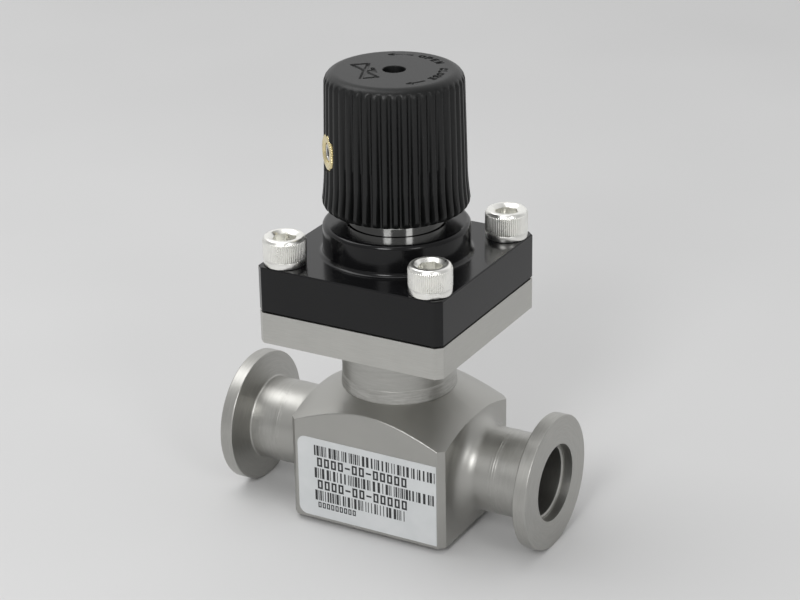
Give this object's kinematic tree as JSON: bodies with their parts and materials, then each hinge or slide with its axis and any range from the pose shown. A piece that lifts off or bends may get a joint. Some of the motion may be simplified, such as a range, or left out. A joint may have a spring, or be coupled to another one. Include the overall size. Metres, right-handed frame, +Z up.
{
  "type": "bellows-sealed in-line vacuum shut-off valve",
  "caption": "Small in-line vacuum valve: a turned knob lifts a bellows-sealed poppet off its seat between clamp-flange ports in a welded stainless block.",
  "frame": {"origin": "middle of the footprint, at the height of the lowest points, the bottoms of the two port rims", "axes": "+X along the ports towards the outlet, +Z up along the stem, -Y the side with the label"},
  "size_m": [0.0762, 0.0442, 0.1027],
  "materials": {
    "satin_stainless": "bead-blasted satin stainless steel",
    "inner_stainless": "turned stainless steel",
    "black_anodised": "glossy black anodised aluminium",
    "bright_plated_steel": "bright plated, with a fine straight knurl",
    "polished_steel": "polished",
    "spring_steel": "dark spring steel",
    "bearing_bronze": "machined bronze",
    "brass": "machined brass, with a knurled rim",
    "black_plastic": "moulded satin black plastic",
    "seal_rubber": "moulded fluoroelastomer",
    "label_film": "pale grey printed film"
  },
  "bodies": {
    "valve_body": {"valve_block": "satin_stainless", "port_stub_left": "satin_stainless", "port_stub_right": "satin_stainless", "port_weld_left": "satin_stainless", "port_weld_right": "satin_stainless", "name_label": "label_film", "neck_tube": "satin_stainless", "neck_weld": "satin_stainless", "body_flange": "satin_stainless", "bonnet_seal": "seal_rubber", "bonnet": "black_anodised", "bonnet_screws": "bright_plated_steel", "bellows_flange": "inner_stainless", "stem_guide_bush": "bearing_bronze", "bellows": "inner_stainless", "thrust_washer": "bearing_bronze", "lower_washer": "bearing_bronze", "retaining_ring": "spring_steel"},
    "drive": {"knob": "black_plastic", "knob_insert": "brass", "knob_set_screw": "inner_stainless", "drive_barrel": "polished_steel", "drive_nut": "bearing_bronze"},
    "stem_group": {"stem": "inner_stainless", "poppet": "inner_stainless", "seat_seal": "seal_rubber"}
  },
  "joints": [
    {"name": "knob_turn", "type": "hinge", "parent": "valve_body", "child": "drive", "pos_m": [0, 0, 0.0755], "axis": [0, 0, 1], "range_deg": [0, 1080]},
    {"name": "stem_lift", "type": "slide", "parent": "valve_body", "child": "stem_group", "axis": [0, 0, 1], "range_m": [0, 0.0045], "deforming": ["bellows"]}
  ],
  "couplings": [
    {"joint": "knob_turn", "follows": "stem_lift", "rad_per_m": 4188.8}
  ]
}
